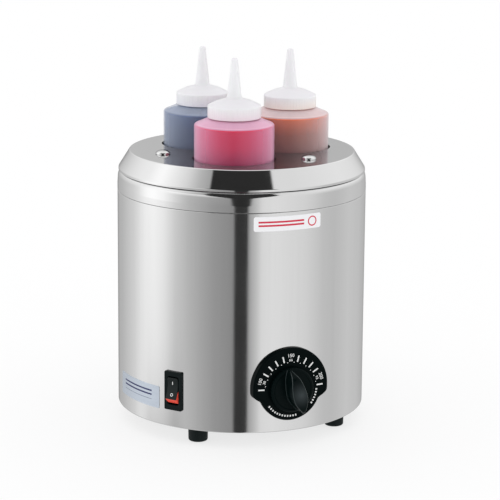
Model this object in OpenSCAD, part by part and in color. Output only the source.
// Round countertop warmer for three squeeze bottles.
// Units are millimetres. The origin is on the counter, on the drum's axis.
// +Z is up, and -Y is the front, where the temperature dial is.

/* [Drum] */
// Outside diameter of the drum and of the collar above it
drum_d = 216; // [210:1:224]
// Thickness of the drum's wrapped sheet
shroud_t = 1.0; // [0.8:0.1:1.2]
// Height of the seam where the collar meets the drum's top edge
seam_z = 203.6; // [198:0.2:208]
// Height of the collar's flat top
collar_z = 222.2; // [221.6:0.2:222.6]
// Radius of the collar's rounded shoulder
shoulder_r = 8; // [4:0.5:9]

/* [Well] */
// Inside radius of the water well
well_r = 83; // [82:0.5:84]
// Height of the underside of the well's floor
well_z = 91; // [88:1:96]
// Thickness of the well's drawn sheet
well_t = 1.2; // [1:0.1:1.4]

/* [Feet] */
// Height of the feet, from the counter to the drum's bottom edge
foot_h = 14; // [12:1:16]
// Diameter of each foot
foot_d = 17; // [15:1:19]
// Distance from the drum's axis to each foot's axis
foot_ring = 89.6; // [86:0.2:92]

/* [Rack lid] */
// Height of the lid's flat top
lid_z = 238.1; // [237:0.1:240]
// Radius of the lid's flat top
lid_top_r = 97.6; // [96:0.2:99]
// Radius of the lid's bottom edge
lid_rim_r = 107; // [106.5:0.1:107.4]
// Thickness of the lid's sheet
lid_t = 1.0; // [0.8:0.1:1.2]
// Radial gap between a bottle and its hole in the lid
hole_gap = 1.5; // [1:0.1:2]
// Distance from the drum's axis to each rod of the rack
rod_ring = 72.6; // [71:0.2:74]
// Height of the top of the rack's shelf
shelf_z = 126.2; // [124:0.2:130]

/* [Bottles] */
// Outside diameter of a bottle
bottle_d = 68; // [66:0.5:69]
// Distance from the drum's axis to each bottle's axis
bottle_ring = 44.6; // [44:0.1:46]
// Height from the counter to a bottle's shoulder edge
shoulder_z = 268.1; // [264:0.1:272]
// Outside diameter of a bottle's cap
cap_d = 45.4; // [45:0.1:46]
// Height from the counter to a cap's lower edge
cap_z = 273.3; // [272.5:0.1:274]
// Height from the counter to the nozzle's tip
tip_z = 323.5; // [318:0.5:330]
// Rise of a cap in one turn of its thread
thread_pitch = 4.2; // [4:0.1:4.4]

/* [Dial] */
// Height of the dial's centre
dial_z = 51.9; // [50:0.1:54]
// Distance of the dial's centre to the right of the drum's front
dial_x = 2; // [0:0.5:3]
// Radius of the dial plate's upper part
plate_r = 33.8; // [33:0.2:35]
// Radius of the dial plate's lower part
plate_low_r = 27.6; // [27:0.2:29]
// Extra height of the dial's upper part
plate_up = 2; // [0:0.2:3]
// Distance the dial plate's face stands out from the drum
plate_out = 3; // [2.6:0.1:3.4]
// Radius of the knob's disc
knob_r = 19.4; // [18:0.2:21]
// Height of the knob's grip above its disc
grip_h = 14; // [12:0.5:15]
// Angle of the knob's pointer from the top, positive to the right
pointer_deg = -12; // [-40:1:40]

/* [Switch] */
// Angle of the switch round the drum, from the front
switch_deg = -52.8; // [-56:0.2:-50]
// Height of the switch's centre
switch_z = 46.6; // [44:0.2:50]
// Width of the switch's bezel
switch_w = 16.2; // [16:0.2:18]
// Height of the switch's bezel
switch_h = 33.2; // [32:0.2:35]
// Tilt of the rocker each side of its middle
rock_deg = 12; // [10:1:13]

/* [Power cord] */
// Diameter of the cord's jacket
cord_d = 7; // [6.5:0.1:7.2]
// Height of the cord's outlet
cord_z = 62; // [60:1:66]
// Distance of the coil's centre from the back of the drum, towards +X
coil_x = 35; // [20:1:35]
// Spacing of the coiled cord's turns
cord_pitch = 7.6; // [7.5:0.1:8]

/* [Hidden] */
$fn = 64;

drum_r = drum_d / 2;
shroud_in_r = drum_r - shroud_t;
well_out_r = well_r + well_t;
base_t = 1.2;
base_z = foot_h + shroud_t;                 // underside of the base plate
base_top = base_z + base_t;
screw_r = 2.0;
clear_r = 2.2;                              // clearance holes for the screws
cut_r = drum_r - 8;                         // where cuts through the drum's wall start
cut_h = 16;
ground_deg = 150;
ground_ring = 70;

// Angles round the drum, from the front towards +X
BOTTLE_DEG = [-30, 90, -150];
ROD_DEG = [30, 150, -90];
FOOT_DEG = [45, 135, -135, -45];

// ---------- helpers ----------
// Puts children at an angle round the drum, at a distance from its axis
module around(deg, dist) { rotate([0, 0, deg]) translate([0, -dist, 0]) children(); }
module at_feet() { for (a = FOOT_DEG) around(a, foot_ring) children(); }
module at_rods() { for (a = ROD_DEG) around(a, rod_ring) children(); }
module at_bottle(index) { around(BOTTLE_DEG[index], bottle_ring) children(); }
module lift(z) { translate([0, 0, z]) children(); }

// Faces children to the front: local x is right, y is up and z is outward
module face(dist, z = 0) { translate([0, -dist, z]) rotate([90, 0, 0]) children(); }
// The dial's centre line, turned as the knob if asked
module at_dial(turn = 0) { translate([dial_x, 0, dial_z]) rotate([0, turn, 0]) children(); }
module at_dial_screws() { for (x = [-14, 14]) translate([x, 0, 0]) children(); }
module at_switch() { rotate([0, 0, switch_deg]) children(); }
module at_outlet(dist) { rotate([0, 0, 180]) face(dist, cord_z) children(); }

module tube(outer_r, inner_r, h) {
  difference() {
    cylinder(r = outer_r, h = h);
    lift(-1) cylinder(r = inner_r, h = h + 2);
  }
}
module hexagon(flats, h) { cylinder(d = flats / cos(30), h = h, $fn = 6); }
module hex_nut(flats, h, bore_r) {
  difference() {
    hexagon(flats, h);
    lift(-1) cylinder(r = bore_r, h = h + 2);
  }
}
// Quarter ring in a profile, from angle deg to deg + 90
module quarter(x, z, outer_r, inner_r, deg) {
  translate([x, z]) rotate(deg) difference() {
    intersection() {
      circle(r = outer_r);
      square([outer_r + 1, outer_r + 1]);
    }
    circle(r = inner_r);
  }
}
module rounded_box(w, h, r) {
  square([w - 2 * r, h], center = true);
  square([w, h - 2 * r], center = true);
  for (x = [-1, 1], y = [-1, 1]) translate([x * (w / 2 - r), y * (h / 2 - r)]) circle(r = r);
}
// A straight round bar between two points
module bar(from, to, d) {
  run = to - from;
  length = norm(run);
  translate(from) rotate([0, acos(run[2] / length), atan2(run[1], run[0])])
    cylinder(d = d, h = length);
}
// A wire along points, with a slightly fuller bead at each bend
module wire(points, d) {
  last = len(points) - 1;
  for (i = [0 : last - 1]) bar(points[i], points[i + 1], d);
  for (i = [1 : last - 1]) translate(points[i]) sphere(d = d * 1.2);
}
// The drum's round body, to cut the backs of parts that sit on it
module drum_space() { cylinder(r = drum_r + 0.05, h = 200, $fn = 180); }

// ---------- drum ----------
lip_in_r = 80;                              // inner edge of the drum's bottom lip
tie_hole_r = 3.3;
switch_body = [14, 29];                     // width and height of the part inside the drum

module shroud() {
  color("silver") difference() {
    rotate_extrude($fn = 180) {
      translate([shroud_in_r, foot_h]) square([shroud_t, seam_z - foot_h]);
      translate([lip_in_r, foot_h]) square([drum_r - lip_in_r, shroud_t]);
    }
    // shaft hole and the dial's two screw holes
    at_dial() face(cut_r) {
      cylinder(r = 5, h = cut_h);
      at_dial_screws() cylinder(r = clear_r, h = cut_h);
    }
    at_switch() face(cut_r, switch_z) linear_extrude(cut_h)
      square(switch_body + [0.4, 0.4], center = true);
    at_outlet(cut_r) cylinder(r = 8, h = cut_h);
    at_feet() cylinder(r = clear_r, h = 40);
  }
}
module vessel() {
  corner_r = 9;                             // outside radius of the floor's corner
  corner_x = well_out_r - corner_r;
  corner_z = well_z + corner_r;
  joggle_r = shroud_in_r - 0.2 - well_t;
  color("gainsboro") rotate_extrude($fn = 180) {
    // floor, corner and wall
    translate([0, well_z]) square([corner_x, well_t]);
    quarter(corner_x, corner_z, corner_r, corner_r - well_t, -90);
    translate([well_r, corner_z]) square([well_t, collar_z - corner_z]);
    // collar's top, shoulder and side
    translate([well_r, collar_z - well_t]) square([drum_r - shoulder_r - well_r, well_t]);
    quarter(drum_r - shoulder_r, collar_z - shoulder_r, shoulder_r, shoulder_r - well_t, 0);
    translate([drum_r - well_t, seam_z + 0.05])
      square([well_t, collar_z - shoulder_r - seam_z - 0.05]);
    // joggle that drops inside the drum
    translate([joggle_r, seam_z - 7]) square([well_t, 10]);
    translate([joggle_r, seam_z + 1]) square([well_t + 0.6, 2]);
  }
}
module base_plate() {
  hole_h = base_t + 2.8;
  color("darkgray") difference() {
    lift(base_z) cylinder(r = shroud_in_r - 0.3, h = base_t, $fn = 180);
    lift(base_z - 1) {
      cylinder(r = tie_hole_r, h = hole_h);
      at_feet() cylinder(r = clear_r, h = hole_h);
      // vents
      for (a = [0 : 45 : 315]) around(a, 55) cylinder(r = 4, h = hole_h);
      around(ground_deg, ground_ring) cylinder(r = 2.1, h = hole_h);
    }
  }
}

// ---------- feet ----------
washer_z = 5;                               // underside of the washer in each foot
washer_t = 0.8;
foot_edge_r = 2.4;

module feet() {
  color("#222426") at_feet() rotate_extrude($fn = 48) difference() {
    union() {
      translate([0, foot_edge_r]) square([foot_d / 2, foot_h - foot_edge_r]);
      square([foot_d / 2 - foot_edge_r, 3]);
      translate([foot_d / 2 - foot_edge_r, foot_edge_r]) circle(r = foot_edge_r);
    }
    // screw hole, and the pocket for the head and washer
    square([2.3, foot_h]);
    square([4.7, washer_z + washer_t]);
  }
}
module foot_washers() { color("silver") at_feet() lift(washer_z) tube(4.5, 2.15, washer_t); }
module foot_screws() {
  head_h = 2.4;
  color("silver") at_feet() {
    lift(washer_z) cylinder(r = screw_r, h = base_top + 5 - washer_z);
    difference() {
      lift(washer_z - head_h) cylinder(r = 3.9, h = head_h);
      translate([-5, -0.5, 2]) cube([10, 1, 1.6]);
    }
  }
}
module foot_nuts() { color("silver") at_feet() lift(base_top) hex_nut(7, 3.2, 2.05); }

// ---------- middle tie ----------
tie_r = 3;
tie_flange_r = 9;                           // of the rod's top flange and of the washer
tie_flange_t = 1.5;
tie_low = 8;                                // lower end of the rod
tie_washer_t = 1.2;
tie_nut_h = 5;

module tie_rod() {
  flange_z = well_z - tie_flange_t;
  color("silver") {
    lift(tie_low) cylinder(r = tie_r, h = flange_z - tie_low);
    lift(flange_z) cylinder(r = tie_flange_r, h = tie_flange_t);
  }
}
module tie_washer() {
  color("silver") lift(base_z - tie_washer_t) tube(tie_flange_r, tie_hole_r, tie_washer_t);
}
module tie_nut() {
  color("silver") lift(base_z - tie_washer_t - tie_nut_h) hex_nut(10, tie_nut_h, tie_r + 0.05);
}

// ---------- heating ----------
band_out_r = well_out_r + 3.0;
clamp_out_r = well_out_r + 3.9;
clamp_z = 122;
clamp_h = 16;
clamp_gap = 7;                              // half the opening at the back of the clamp

// The clamp's bolt line, along X, with children starting at x
module at_clamp_bolt(x) { translate([x, clamp_out_r + 6, 130]) rotate([0, 90, 0]) children(); }
module heater_band() {
  color("#b9a47c") difference() {
    lift(104) tube(band_out_r, well_out_r + 0.1, 52);
    translate([-4, 0, 100]) cube([8, 120, 60]);
  }
}
module heater_clamp() {
  ear_t = 1;
  ear_y = sqrt(pow(clamp_out_r, 2) - pow(clamp_gap, 2)) - 0.4;
  color("silver") difference() {
    union() {
      difference() {
        lift(clamp_z) tube(clamp_out_r, band_out_r + 0.1, clamp_h);
        translate([-clamp_gap, 0, clamp_z - 2]) cube([2 * clamp_gap, 120, 20]);
      }
      for (x = [-clamp_gap - ear_t, clamp_gap])
        translate([x, ear_y, clamp_z]) cube([ear_t, 11.2, clamp_h]);
    }
    at_clamp_bolt(-20) cylinder(r = 2.1, h = 40);
  }
  color("gray") {
    at_clamp_bolt(-12) cylinder(r = screw_r, h = 25);
    at_clamp_bolt(-11) cylinder(r = 3.6, h = 3);
    at_clamp_bolt(8) hexagon(7, 3.2);
  }
}
module high_limit_cutoff() {
  color("#8a6b45") translate([38, 0, well_z - 9]) {
    cylinder(r = 8, h = 8.9);
    for (x = [-4, 4]) translate([x - 0.4, -3, -7]) cube([0.8, 6, 8]);
  }
}

// ---------- thermostat ----------
plate_face = drum_r + plate_out;            // distances from the drum's axis
knob_back = plate_face + 0.4;
disc_t = 4.6;                               // thickness of the knob's disc
disc_front = knob_back + disc_t;
shaft_r = 3.0;
shaft_bore_r = 3.05;
shaft_back = 80.2;
bracket_y = 105;                            // front of the thermostat's mounting bracket
bracket_t = 1.2;
bulb_x = -30;
bulb_z = well_z - 4.2;
bulb_r = 3;

module thermostat_body() {
  color("#c9c4b4") at_dial() difference() {
    union() {
      translate([-17.4, -bracket_y, -16]) cube([34.8, bracket_t, 32]);
      translate([-17, bracket_t - bracket_y, -15]) cube([34, 24, 30]);
      face(103) cylinder(r = 4.6, h = 7);
    }
    face(78) cylinder(r = shaft_bore_r, h = 40);
    face(92) at_dial_screws() cylinder(r = 2.05, h = 20);
  }
}
module thermostat_shaft() {
  color("silver") intersection() {
    at_dial() face(shaft_back) cylinder(r = shaft_r, h = disc_front + 8 - shaft_back);
    // full round at the back, with a flat that turns with the knob at the front
    union() {
      at_dial() translate([-4, -108, -4]) cube([8, 40, 8]);
      at_dial(pointer_deg) translate([-4, -140, -4]) cube([8, 33, 6.2]);
    }
  }
}
module thermostat_bulb() {
  color("#c98a5a") {
    translate([bulb_x, -30, bulb_z]) rotate([90, 0, 0]) cylinder(r = bulb_r, h = 45);
    wire([[bulb_x, -30, bulb_z], [bulb_x, -22, bulb_z], [bulb_x, -22, 66],
          [-9, -74, 58], [-9, -79.7, 58]], 1.8, $fn = 8);
  }
}
module bulb_clip() {
  color("silver") difference() {
    union() {
      translate([bulb_x, -48, bulb_z]) rotate([90, 0, 0]) cylinder(r = 3.9, h = 10);
      translate([bulb_x - 11, -58, well_z - 1.2]) cube([22, 10, 1.0]);
    }
    translate([bulb_x, -47, bulb_z]) rotate([90, 0, 0]) cylinder(r = bulb_r + 0.05, h = 12);
  }
}

// ---------- dial ----------
recess_y = plate_face - 2.2;                // floor of the recesses for the screw heads

module plate_outline() {
  ear_deg = 97;                             // angle from the top to each ear
  circle(r = plate_low_r, $fn = 96);
  intersection() {
    union() {
      circle(r = plate_r, $fn = 96);
      translate([0, plate_up]) circle(r = plate_r, $fn = 96);
    }
    // wedge that keeps the upper part
    polygon([for (a = [-ear_deg, -60, -20, 20, 60, ear_deg]) 60 * [sin(a), cos(a)], [0, 0]]);
  }
  for (s = [-1, 1]) translate((plate_r - 7.2) * [s * sin(ear_deg), cos(ear_deg)]) circle(r = 6.9);
}
module dial_plate() {
  color("#1b2020") difference() {
    at_dial() face(drum_r - 12) linear_extrude(plate_out + 12) plate_outline();
    drum_space();
    at_dial() face(cut_r) {
      cylinder(r = 6, h = cut_h);
      at_dial_screws() cylinder(r = clear_r, h = cut_h);
    }
    at_dial() face(recess_y) at_dial_screws() cylinder(r = 3.8, h = 10);
  }
}
module dial_screws() {
  low_y = 96;
  color("silver") at_dial() at_dial_screws() difference() {
    union() {
      face(low_y) cylinder(r = screw_r, h = recess_y - low_y);
      face(recess_y) cylinder(r = 3.5, h = 2);
    }
    face(recess_y + 1) linear_extrude(4) {
      square([5, 0.9], center = true);
      square([0.9, 5], center = true);
    }
  }
}
module knob() {
  half_w = 7;                               // half the grip's width
  side_r = (pow(knob_r - 0.6, 2) + pow(half_w, 2)) / (2 * half_w);
  color("#202727") at_dial(pointer_deg) difference() {
    union() {
      // disc with a fluted edge
      face(knob_back) difference() {
        cylinder(r = knob_r, h = disc_t, $fn = 96);
        for (a = [0 : 10 : 350]) rotate([0, 0, a])
          translate([knob_r + 0.35, 0, -1]) cylinder(r = 0.8, h = 20, $fn = 24);
      }
      face(disc_front - 1) difference() {
        intersection() {
          translate([side_r - half_w, 0, 0]) cylinder(r = side_r, h = grip_h + 1, $fn = 128);
          translate([half_w - side_r, 0, 0]) cylinder(r = side_r, h = grip_h + 1, $fn = 128);
        }
        // the grip slopes down towards its pointer
        translate([-10, 6, grip_h + 1]) rotate([-28, 0, 0]) cube([20, 30, 20]);
      }
    }
    // D-shaped bore, and the clip's recess
    face(plate_face - 1) intersection() {
      cylinder(r = shaft_bore_r, h = disc_t + 10);
      translate([-4, -4, 0]) cube([8, 6.25, 40]);
    }
    face(plate_face - 1) cylinder(r = 5.2, h = 3.6);
  }
}
module knob_clip() {
  color("silver") at_dial(pointer_deg) face(plate_face + 0.8) difference() {
    cylinder(r = 5.1, h = 1.0);
    lift(-1) cylinder(r = 3.06, h = 4);
    translate([-1, -8, -1]) cube([2, 6, 4]);
  }
}

// ---------- switch ----------
pivot_r = drum_r - 0.6;                     // the rocker's pin, from the drum's axis
housing_back = drum_r - 25;
// Side outline of the rocker: distance inward from the pin, height above it
ROCKER_SIDE = [[-1.0, -10.9], [-4.9, -8.0], [-4.2, -5.3], [-3.6, 0], [-4.2, 5.3],
               [-5, 10.9], [1.6, 10.7], [2.6, 0], [1.6, -10.7]];

module switch_housing() {
  color("#17191a") at_switch() difference() {
    union() {
      difference() {
        face(drum_r - 4, switch_z) linear_extrude(6.0) rounded_box(switch_w, switch_h, 1);
        drum_space();
      }
      face(housing_back, switch_z) linear_extrude(26.5) square(switch_body, center = true);
    }
    // rocker's cavity and pin hole
    face(drum_r - 10, switch_z) linear_extrude(20) square([10.9, 24.7], center = true);
    translate([-5.8, -pivot_r, switch_z]) rotate([0, 90, 0]) cylinder(r = 1.25, h = 11.6);
  }
}
module rocker() {
  rocker_w = 10.5;
  color("#15181a") at_switch() translate([0, -pivot_r, switch_z])
    rotate([-rock_deg, 0, 0]) rotate([90, 0, 90]) lift(-rocker_w / 2) {
      linear_extrude(rocker_w) polygon(ROCKER_SIDE);
      lift(-0.4) cylinder(r = 1.2, h = rocker_w + 0.8);
    }
}
module switch_terminals() {
  color("#c9b06a") at_switch() for (z = [-9, 0, 9])
    translate([-0.4, -housing_back, switch_z + z - 3]) cube([0.8, 8, 6]);
}

// ---------- wiring and cord ----------
// Terminal block's screw wells
TERMINAL_X = [36, 47, 58];
terminal_y = 39;
ground_x = ground_ring * sin(ground_deg);
ground_y = -ground_ring * cos(ground_deg);

module terminal_block() {
  color("#e4ddca") difference() {
    translate([30, 30, base_top]) cube([34, 18, 14]);
    for (x = TERMINAL_X) translate([x, terminal_y, base_top + 5]) cylinder(r = 3, h = 20);
  }
}
module wiring() {
  $fn = 8;                                  // eight-sided wires
  terminal_z = base_top + 17;
  lead_y = 99.9;                            // where the leads leave the cord
  color("#b03a2e") {
    // cord leads, from the outlet to the terminal block
    wire([[-2.4, lead_y, cord_z], [-2.4, 88, cord_z], [36, 60, terminal_z + 6],
          [TERMINAL_X[0], terminal_y, terminal_z]], 2.6);
    wire([[2.4, lead_y, cord_z], [2.4, 90, cord_z], [47, 62, terminal_z + 6],
          [TERMINAL_X[1], terminal_y, terminal_z]], 2.6);
  }
  // cord to the ground screw
  color("#2f7d4f") wire([[0, lead_y, cord_z - 3], [0, 90, cord_z - 4],
    [ground_x, ground_y + 4, base_top + 12], [ground_x, ground_y, base_top + 6.5]], 2.2);
  color("#d8d4c8") {
    // terminal block to the switch
    wire([[36, 33, terminal_z + 1], [10, 20, 27], [-45, -20, 24], [-58, -44, switch_z]], 2.4);
    // switch to the thermostat
    wire([[-52, -50.5, switch_z + 9], [-42, -44, 66], [-22, -70, 70], [-10, -78, 62]], 2.4);
    // thermostat to the cutoff
    wire([[10, -78, 62], [26, -60, 74], [42, -3, 72]], 2.4);
    // cutoff to the heater
    wire([[34, 3, 72], [46, 40, 76], [60, 76, 80], [64, 70, 98], [59, 68.5, 108]], 2.4);
    // terminal block to the heater
    wire([[TERMINAL_X[2], terminal_y, terminal_z], [70, 48, 60], [92, 18, 92],
          [92, 18, 110], [87.4, 17, 112]], 2.4);
  }
}
module ground_screw() {
  color("#c9b06a") around(ground_deg, ground_ring) {
    lift(base_z - 2) cylinder(r = screw_r, h = base_t + 6);
    lift(base_top) cylinder(r = 4, h = 1);
    lift(base_top + 1) hexagon(7, 3);
  }
}
module strain_relief() {
  color("#1c1e1f") difference() {
    union() {
      at_outlet(drum_r + 0.6) cylinder(r1 = 11, r2 = 9, h = 3.4);
      at_outlet(drum_r - 6) cylinder(r = 7.8, h = 7);
    }
    at_outlet(drum_r - 10) cylinder(r = cord_d / 2 + 0.05, h = 30);
  }
}

// The cord leaves the outlet, bends, and is coiled flat behind the drum
coil_y = drum_r + 12.8;                     // plane of the coil
coil_half = 30;                             // half length of the coil's straight runs
coil_r = 12;                                // radius of the first half turn
last_turn = 6;                              // half turns are counted from 0
elbow_r = 7;
coil_left = coil_x - coil_half;             // the ends of the straight runs
coil_right = coil_x + coil_half;
// Heights of the upper and lower runs met by a half turn
function up_z(turn) = cord_z + floor((turn + 1) / 2) * cord_pitch;
function low_z(turn) = cord_z - 2 * coil_r - floor(turn / 2) * cord_pitch;
// The last quarter turn, up to the plug
end_r = (up_z(last_turn) - low_z(last_turn)) / 2 + cord_pitch / 2 + 0.9;
end_z = low_z(last_turn) + end_r;
plug_x = coil_left - end_r;
plug_z = end_z + 8;

module cord_bend(r, start, angle) {
  rotate_extrude(angle = angle, start = start, $fn = 96)
    translate([r, 0]) circle(d = cord_d, $fn = 32);
}
// A bend in the plane of the coil, with angles counted from +X towards +Z
module coil_bend(x, z, r, start, angle) {
  translate([x, coil_y, z]) rotate([90, 0, 0]) cord_bend(r, start, angle);
}
module coil_run(from_x, to_x, z) { bar([from_x, coil_y, z], [to_x, coil_y, z], cord_d); }
module power_cord() {
  color("#191b1c") {
    bar([0, cut_r, cord_z], [0, coil_y - elbow_r, cord_z], cord_d);
    translate([elbow_r, coil_y - elbow_r, cord_z]) cord_bend(elbow_r, 90, 90);
    coil_run(elbow_r, coil_right, cord_z);
    for (turn = [0 : last_turn]) {
      r = (up_z(turn) - low_z(turn)) / 2;
      z = (up_z(turn) + low_z(turn)) / 2;
      if (turn % 2 == 0) {
        coil_bend(coil_right, z, r, -90, 180);
        coil_run(coil_right, coil_left, low_z(turn));
      } else {
        coil_bend(coil_left, z, r, 90, 180);
        coil_run(coil_left, coil_right, up_z(turn));
      }
    }
    coil_bend(coil_left, end_z, end_r, 180, 90);
    bar([plug_x, coil_y, end_z], [plug_x, coil_y, end_z + 13], cord_d);
  }
}
module cord_tie() {
  // a wrap round the upper runs and one round the lower runs
  color("#2a2d2f") for (span = [[up_z(0), up_z(last_turn)], [low_z(last_turn), low_z(0)]]) {
    h = span[1] - span[0] + cord_d + 3.4;
    translate([coil_x - 19, coil_y, (span[0] + span[1]) / 2]) rotate([90, 0, 90])
      linear_extrude(9) difference() {
        rounded_box(cord_d + 3, h, 3.6);
        rounded_box(cord_d + 1, h - 2, 3);
      }
  }
}
// Two flat blades and a round pin from height z, enlarged all round by gap
module prongs(z, blade_h, pin_h, gap = 0) {
  for (x = [-6.35, 6.35]) translate([x - 0.75 - gap, -1.8 - gap, z])
    cube([1.5 + 2 * gap, 6.3 + 2 * gap, blade_h]);
  translate([0, -4.2, z]) cylinder(r = 2.4 + gap, h = pin_h);
}
module plug() {
  color("#1c1e1f") translate([plug_x, coil_y, plug_z]) difference() {
    union() {
      lift(0.05) rotate_extrude($fn = 64) difference() {
        polygon([[0, 0], [5.2, 0], [6.2, 16], [9, 19], [9, 24], [0, 24]]);
        square([cord_d / 2 + 0.15, 6]);
      }
      lift(22) linear_extrude(20) rounded_box(26, 18.4, 4);
    }
    prongs(30, 20, 20, 0.1);
  }
}
module plug_blades() {
  color("#c9b06a") translate([plug_x, coil_y, plug_z]) prongs(30.2, 29, 32);
}

// ---------- stick-on pieces ----------
// A thin patch on the drum's face, between two angles and two heights
module skin(from_deg, to_deg, low, high, t) {
  rotate_extrude(angle = to_deg - from_deg, start = from_deg - 90, $fn = 180)
    translate([drum_r + 0.05, low]) square([t, high - low]);
}
module warning_label() { color("white") skin(-16.1, 16.1, 188.2, 200.6, 0.2); }
module nameplate() { color("#c4cbd3") skin(-93, -61, 28.1, 47.5, 0.3); }

// ---------- rack ----------
hole_r = bottle_d / 2 + hole_gap;
rod_d = 5;
rod_hole_r = rod_d / 2 + 0.1;
rod_bore_r = rod_d / 2 + 0.05;              // in the nuts
shelf_t = 1.2;
shelf_low = shelf_z - shelf_t;
rack_nut_h = 4;

module rack_lid() {
  color("#d5d7d8") difference() {
    rotate_extrude($fn = 180) polygon([
      [0, lid_z - lid_t], [0, lid_z], [lid_top_r - 1, lid_z], [lid_top_r + 0.2, lid_z - 0.7],
      [lid_rim_r, collar_z + 1.0], [lid_rim_r, collar_z - 0.9],
      [lid_rim_r - lid_t, collar_z - 0.9], [lid_rim_r - lid_t, collar_z + 0.7],
      [lid_top_r - 0.8, lid_z - lid_t]]);
    lift(lid_z - 5) {
      for (i = [0 : 2]) at_bottle(i) cylinder(r = hole_r, h = 10, $fn = 128);
      at_rods() cylinder(r = rod_hole_r, h = 10);
    }
  }
}
module rack_rods() {
  low = shelf_low - 6.5;
  color("silver") at_rods() lift(low) cylinder(d = rod_d, h = lid_z + 2.2 - low);
}
module rack_nuts() {
  // below the shelf, above it and below the lid
  color("silver") at_rods() for (z = [shelf_low - rack_nut_h, shelf_z, lid_z - lid_t - rack_nut_h])
    lift(z) hex_nut(8, rack_nut_h, rod_bore_r);
}
module dome_nuts() {
  color("silver") at_rods() lift(lid_z) difference() {
    intersection() {
      lift(-3.6) sphere(r = 7.4, $fn = 64);
      cylinder(r = 6.4, h = 8);
    }
    lift(-1) cylinder(r = rod_bore_r, h = 3.3);
  }
}
module rack_shelf() {
  color("#cfd1d2") difference() {
    lift(shelf_low) cylinder(r = 79, h = shelf_t, $fn = 128);
    lift(shelf_z - 5) {
      at_rods() cylinder(r = rod_hole_r, h = 10);
      // a hole and a ring of six under each bottle
      for (i = [0 : 2]) at_bottle(i) {
        cylinder(r = 9, h = 10);
        for (a = [0 : 60 : 300]) rotate([0, 0, a]) translate([20, 0, 0]) cylinder(r = 5, h = 10);
      }
      cylinder(r = 8, h = 10);
    }
  }
}

// ---------- bottles ----------
bottle_r = bottle_d / 2;
bottle_z = shelf_z + 0.1;                   // underside of a bottle
wall = 1.0;
inner_r = bottle_r - wall;
floor_z = bottle_z + wall + 0.4;            // top of a bottle's floor
edge_r = 3;                                 // rounding at the bottom and at the shoulder
low_edge_z = bottle_z + edge_r;
top_edge_z = shoulder_z - edge_r;
neck_r = 19.8;
neck_in_r = neck_r - 1.6;
neck_top = cap_z + 8;
thread_depth = 1.1;
thread_steps = 12;                          // steps in a turn
thread_turns = 1.25;
liner_z = neck_top + 0.02;
liner_t = 1.0;

// A thread as short level arcs that climb step by step
module stepped_thread(inner, outer, low) {
  for (i = [0 : thread_turns * thread_steps - 1]) lift(low + i * thread_pitch / thread_steps)
    rotate_extrude(angle = 360 / thread_steps + 0.5, start = i * 360 / thread_steps)
      translate([inner, 0]) square([outer - inner, 1.2]);
}
module bottle_outside() {
  translate([0, bottle_z]) square([bottle_r - edge_r, edge_r]);
  translate([0, low_edge_z]) square([bottle_r, top_edge_z - low_edge_z]);
  intersection() {
    translate([bottle_r - edge_r, low_edge_z]) circle(r = edge_r);
    translate([0, bottle_z]) square([bottle_r, edge_r + 0.1]);
  }
  intersection() {
    translate([bottle_r - edge_r, top_edge_z]) circle(r = edge_r);
    translate([0, top_edge_z - 0.1]) square([bottle_r, edge_r + 1]);
  }
  // slope up to the neck
  polygon([[0, top_edge_z], [bottle_r - edge_r, top_edge_z],
           [bottle_r - edge_r + 0.6, shoulder_z - 0.06], [neck_r + 3, cap_z - 1.4],
           [neck_r, cap_z - 0.6], [0, cap_z - 0.6]]);
  translate([0, cap_z - 1]) square([neck_r, neck_top - cap_z + 1]);
}
module bottle_inside() {
  translate([0, floor_z]) square([inner_r, top_edge_z - floor_z]);
  polygon([[0, top_edge_z - 0.1], [inner_r, top_edge_z - 0.1],
           [inner_r - 2.6, shoulder_z - wall - 0.5], [neck_r + 1.6, cap_z - 2.6],
           [neck_in_r, cap_z - 1], [0, cap_z - 1]]);
  translate([0, cap_z - 2]) square([neck_in_r, neck_top - cap_z + 6]);
}
module bottle(index, tint) {
  color(tint, 0.5) at_bottle(index) difference() {
    union() {
      rotate_extrude($fn = 128) bottle_outside();
      stepped_thread(neck_r - 0.2, neck_r + thread_depth, cap_z + 0.8);
    }
    rotate_extrude($fn = 128) bottle_inside();
  }
}
module sauce(index, tint) {
  low = floor_z + 0.1;
  color(tint) at_bottle(index) lift(low)
    cylinder(r = inner_r - 0.1, h = shoulder_z - 5 - low, $fn = 128);
}
module cap_liner(index) {
  color("white") at_bottle(index) lift(liner_z) tube(neck_r - 0.3, 12, liner_t);
}
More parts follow.
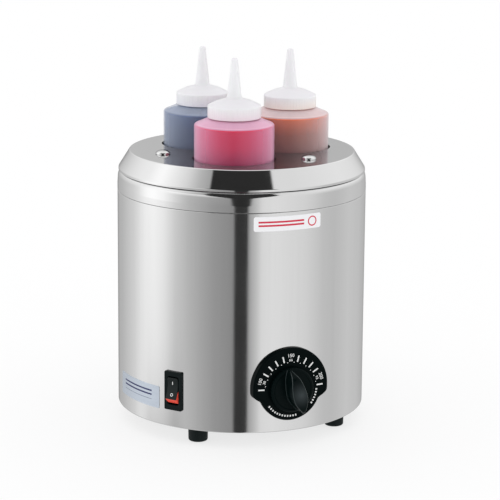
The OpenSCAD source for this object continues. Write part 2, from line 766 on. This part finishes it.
module cap(index) {
  cap_r = cap_d / 2;
  skirt_in_r = cap_r - 1.5;
  ceiling_z = liner_z + liner_t + 0.02;
  nozzle_z = cap_z + 17.2;                  // foot of the nozzle
  color("#f4f3f6", 0.8) at_bottle(index) {
    difference() {
      rotate_extrude($fn = 128) difference() {
        // the skirt, the cone above it and the tapered nozzle
        polygon([[0, cap_z], [cap_r, cap_z], [cap_r, cap_z + 9.4], [cap_r - 0.8, cap_z + 10.6],
                 [6.4, nozzle_z], [6.2, nozzle_z + 0.4], [2.85, tip_z - 1.2], [2.0, tip_z],
                 [0, tip_z]]);
        translate([0, cap_z - 1]) square([skirt_in_r, ceiling_z - cap_z + 1]);
        // the passage up the middle, closed at the tip
        polygon([[0, ceiling_z - 1], [19, ceiling_z - 1], [19, ceiling_z],
                 [5.2, nozzle_z - 1.3], [4.8, nozzle_z], [1.8, tip_z - 3], [0, tip_z - 3]]);
      }
      // grooves between the grip ribs
      for (a = [0 : 7.5 : 352.5]) rotate([0, 0, a])
        translate([cap_r + 0.15, 0, cap_z - 1]) cylinder(r = 0.45, h = 10, $fn = 16);
    }
    stepped_thread(skirt_in_r - thread_depth, skirt_in_r + 0.2, cap_z + 2.9);
  }
}
module bottle_1() { bottle(0, "#d2556f"); }
module bottle_2() { bottle(1, "#c07a5c"); }
module bottle_3() { bottle(2, "#5d6b8c"); }
module sauce_1() { sauce(0, "#b3223c"); }
module sauce_2() { sauce(1, "#a8552e"); }
module sauce_3() { sauce(2, "#2f3e5e"); }
module cap_liner_1() { cap_liner(0); }
module cap_liner_2() { cap_liner(1); }
module cap_liner_3() { cap_liner(2); }
module cap_1() { cap(0); }
module cap_2() { cap(1); }
module cap_3() { cap(2); }

shroud();
vessel();
base_plate();
feet();
foot_screws();
foot_washers();
foot_nuts();
tie_rod();
tie_nut();
tie_washer();
heater_band();
heater_clamp();
high_limit_cutoff();
thermostat_body();
thermostat_bulb();
bulb_clip();
dial_plate();
dial_screws();
thermostat_shaft();
knob();
knob_clip();
switch_housing();
switch_terminals();
rocker();
terminal_block();
wiring();
ground_screw();
strain_relief();
power_cord();
cord_tie();
plug();
plug_blades();
warning_label();
nameplate();
rack_lid();
rack_rods();
rack_nuts();
dome_nuts();
rack_shelf();
bottle_1();
sauce_1();
cap_liner_1();
cap_1();
bottle_2();
sauce_2();
cap_liner_2();
cap_2();
bottle_3();
sauce_3();
cap_liner_3();
cap_3();
